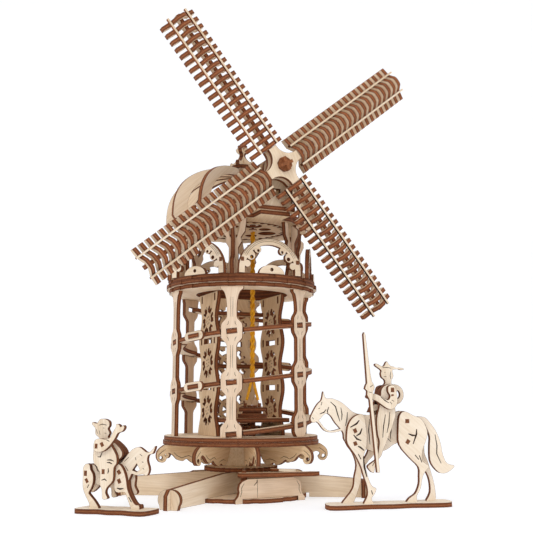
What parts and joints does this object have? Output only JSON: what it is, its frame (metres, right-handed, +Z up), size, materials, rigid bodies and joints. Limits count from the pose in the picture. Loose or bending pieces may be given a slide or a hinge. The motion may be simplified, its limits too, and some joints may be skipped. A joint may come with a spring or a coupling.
{
  "type": "wooden windmill puzzle model",
  "caption": "Laser-cut plywood tower windmill with four slatted sails, a turning tower, a rubber motor and two mounted riders.",
  "frame": {"origin": "centre of the base disc's underside, on the tower's turning axis", "axes": "+Z up; the sails face -Y; +X to the right of someone who faces the sails"},
  "size_m": [0.3223, 0.2392, 0.4474],
  "materials": {
    "birch_ply": "bare sanded birch plywood",
    "warm_ply": "bare plywood, slightly scorched",
    "dark_edge_ply": "bare plywood seen on its laser-cut edge",
    "rubber": "matte amber rubber"
  },
  "bodies": {
    "base": {"base_board_long": "birch_ply", "base_board_cross": "birch_ply", "base_disc": "dark_edge_ply", "base_side_plates": "birch_ply", "arm_end_caps": "warm_ply", "base_top_plate": "warm_ply", "spindle": "dark_edge_ply", "sun_gear": "birch_ply", "lever_pin": "dark_edge_ply"},
    "lock_lever": {"lock_lever": "birch_ply"},
    "windshaft": {"windshaft": "dark_edge_ply", "crown_wheel": "birch_ply", "hub_plates": "birch_ply", "sail_1_frame": "birch_ply", "sail_2_frame": "birch_ply", "sail_3_frame": "birch_ply", "sail_4_frame": "birch_ply", "sail_1_ribs": "dark_edge_ply", "sail_2_ribs": "dark_edge_ply", "sail_3_ribs": "dark_edge_ply", "sail_4_ribs": "dark_edge_ply"},
    "rotor": {"rotor_shaft": "dark_edge_ply", "rotor_pinion": "birch_ply"},
    "winder": {"winder_gear": "birch_ply", "winder_drum": "dark_edge_ply"},
    "knight": {"horse": "birch_ply", "lance_rider": "birch_ply"},
    "squire": {"donkey": "birch_ply", "donkey_rider": "birch_ply"},
    "tower": {"ratchet_disc": "dark_edge_ply", "turn_collar": "warm_ply", "floor_plate_lower": "dark_edge_ply", "floor_plate_upper": "dark_edge_ply", "floor_brackets": "warm_ply", "column_1": "birch_ply", "column_2": "birch_ply", "column_3": "birch_ply", "column_4": "birch_ply", "column_5": "birch_ply", "column_6": "birch_ply", "ramp_lower": "dark_edge_ply", "ramp_middle": "dark_edge_ply", "ramp_upper": "dark_edge_ply", "ramp_clips": "birch_ply", "gallery_ring_lower": "dark_edge_ply", "gallery_ring_middle": "dark_edge_ply", "gallery_ring_upper": "dark_edge_ply", "gallery_pillars": "birch_ply", "gallery_arches": "birch_ply", "balusters": "warm_ply", "inner_panels": "warm_ply", "inner_shelves": "dark_edge_ply", "cap_floor": "warm_ply", "cap_gear": "warm_ply", "cap_ribs": "birch_ply", "finial": "birch_ply", "front_bearing": "birch_ply", "rear_bearing": "birch_ply", "shaft_housing": "warm_ply", "rubber_band": "rubber"}
  },
  "joints": [
    {"name": "tower_turn", "type": "hinge", "parent": "base", "child": "tower", "pos_m": [0, 0, 0.05], "axis": [0, 0, 1], "continuous": true},
    {"name": "sails_spin", "type": "hinge", "parent": "tower", "child": "windshaft", "pos_m": [0, 0, 0.308], "axis": [0, 1, 0], "continuous": true},
    {"name": "rotor_spin", "type": "hinge", "parent": "tower", "child": "rotor", "pos_m": [0, -0.028, 0.28], "axis": [0, 0, 1], "continuous": true},
    {"name": "winder_spin", "type": "hinge", "parent": "tower", "child": "winder", "pos_m": [0, -0.028, 0.07], "axis": [0, 0, 1], "continuous": true},
    {"name": "lever_swing", "type": "hinge", "parent": "base", "child": "lock_lever", "pos_m": [-0.01757, -0.04985, 0.0246], "axis": [0, 0, 1], "range_deg": [0, 10]},
    {"name": "knight_lift", "type": "slide", "parent": "base", "child": "knight", "axis": [0, 0, 1], "range_m": [0, 0.06]},
    {"name": "squire_lift", "type": "slide", "parent": "base", "child": "squire", "axis": [0, 0, 1], "range_m": [0, 0.06]}
  ],
  "couplings": [
    {"joint": "rotor_spin", "follows": "sails_spin", "ratio": 2},
    {"joint": "winder_spin", "follows": "tower_turn", "ratio": 1.8}
  ]
}
